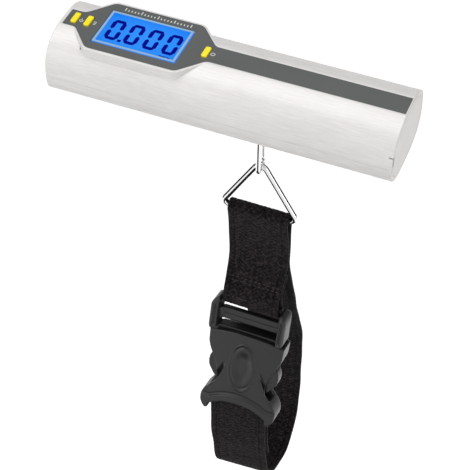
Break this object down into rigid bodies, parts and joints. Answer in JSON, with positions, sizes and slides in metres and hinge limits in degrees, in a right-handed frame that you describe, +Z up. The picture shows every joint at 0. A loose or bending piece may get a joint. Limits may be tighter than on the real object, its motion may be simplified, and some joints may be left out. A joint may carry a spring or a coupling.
{
  "type": "digital luggage scale",
  "caption": "Hand-held digital luggage scale: rounded silver body with lit display and keys, hanging ring, and a webbing strap closed by a side-release buckle.",
  "frame": {"origin": "on the top face of the body, straight above the hanging eye, where the hand closes over the body", "axes": "+X along the body to the battery cover, -Y to the user, +Z up from the hanging strap"},
  "size_m": [0.13, 0.0499, 0.2374],
  "materials": {
    "silver_plastic": "satin silver paint",
    "label_print": "printed sheet",
    "clear_acrylic": "polished",
    "lcd": "backlit",
    "white_plastic": "moulded",
    "light_guide": "diffusing",
    "conductive_rubber": "extruded",
    "board_laminate": "solder mask",
    "black_epoxy": "cured resin",
    "component_body": "moulded",
    "switch_body": "moulded",
    "zinc_steel": "zinc plated",
    "cell_aluminium": "machined",
    "gauge_film": "film",
    "chromed_wire": "polished",
    "battery_can": "printed sleeve",
    "webbing": "woven",
    "buckle_plastic": "fine matte",
    "yellow_plastic": "satin"
  },
  "bodies": {
    "scale_body": {"upper_housing": "silver_plastic", "lower_housing": "silver_plastic", "left_end_cap": "silver_plastic", "label_overlay": "label_print", "display_window": "clear_acrylic", "lcd_glass": "lcd", "lcd_frame": "white_plastic", "backlight_panel": "light_guide", "zebra_connectors": "conductive_rubber", "circuit_board": "board_laminate", "controller_chip": "black_epoxy", "board_components": "component_body", "tact_switches": "switch_body", "board_screws": "zinc_steel", "housing_screws": "zinc_steel", "load_cell": "cell_aluminium", "strain_gauges": "gauge_film", "cell_plate": "zinc_steel", "cell_screws": "zinc_steel", "hanger_eye": "chromed_wire", "eye_clamp_plate": "zinc_steel", "eye_nuts": "zinc_steel", "battery_tray": "white_plastic", "battery_contacts": "zinc_steel", "battery_springs": "zinc_steel", "battery_front": "battery_can", "battery_rear": "battery_can"},
    "battery_cover": {"battery_cover": "silver_plastic", "cover_contact": "zinc_steel"},
    "ring": {"triangle_ring": "chromed_wire"},
    "strap": {"webbing_lower": "webbing", "webbing_upper": "webbing", "buckle_female": "buckle_plastic"},
    "buckle_plug": {"buckle_male": "buckle_plastic"},
    "left_latch": {"latch_arm_left": "buckle_plastic"},
    "right_latch": {"latch_arm_right": "buckle_plastic"},
    "power_key": {"power_button": "yellow_plastic"},
    "unit_key": {"unit_button": "yellow_plastic"},
    "zero_key": {"zero_button": "yellow_plastic"}
  },
  "joints": [
    {"name": "power_button_press", "type": "slide", "parent": "scale_body", "child": "power_key", "axis": [0, 0, -1], "range_m": [0, 0.0005], "stiffness_N_per_m": 600, "springref_m": -0.0004},
    {"name": "unit_button_press", "type": "slide", "parent": "scale_body", "child": "unit_key", "axis": [0, 0, -1], "range_m": [0, 0.0005], "stiffness_N_per_m": 600, "springref_m": -0.0004},
    {"name": "zero_button_press", "type": "slide", "parent": "scale_body", "child": "zero_key", "axis": [0, 0, -1], "range_m": [0, 0.0005], "stiffness_N_per_m": 600, "springref_m": -0.0004},
    {"name": "battery_cover_slide", "type": "slide", "parent": "scale_body", "child": "battery_cover", "axis": [1, 0, 0], "range_m": [0, 0.015]},
    {"name": "ring_swing", "type": "hinge", "parent": "scale_body", "child": "ring", "pos_m": [0, 0, -0.04905], "axis": [0, 1, 0], "range_deg": [-75, 75]},
    {"name": "strap_swing", "type": "hinge", "parent": "ring", "child": "strap", "pos_m": [0, 0, -0.0714], "axis": [1, 0, 0], "range_deg": [-80, 80]},
    {"name": "buckle_open", "type": "slide", "parent": "strap", "child": "buckle_plug", "axis": [0, 0.2924, 0.9563], "range_m": [0, 0.026], "deforming": ["webbing_upper"]},
    {"name": "right_latch_squeeze", "type": "hinge", "parent": "buckle_plug", "child": "right_latch", "pos_m": [0.0106, -0.00792, -0.1382], "axis": [0, 0.9563, -0.2924], "range_deg": [0, 6], "stiffness_Nm_per_rad": 0.25, "springref_deg": -2.86},
    {"name": "left_latch_squeeze", "type": "hinge", "parent": "buckle_plug", "child": "left_latch", "pos_m": [-0.0106, -0.00792, -0.1382], "axis": [0, -0.9563, 0.2924], "range_deg": [0, 6], "stiffness_Nm_per_rad": 0.25, "springref_deg": -2.86}
  ]
}
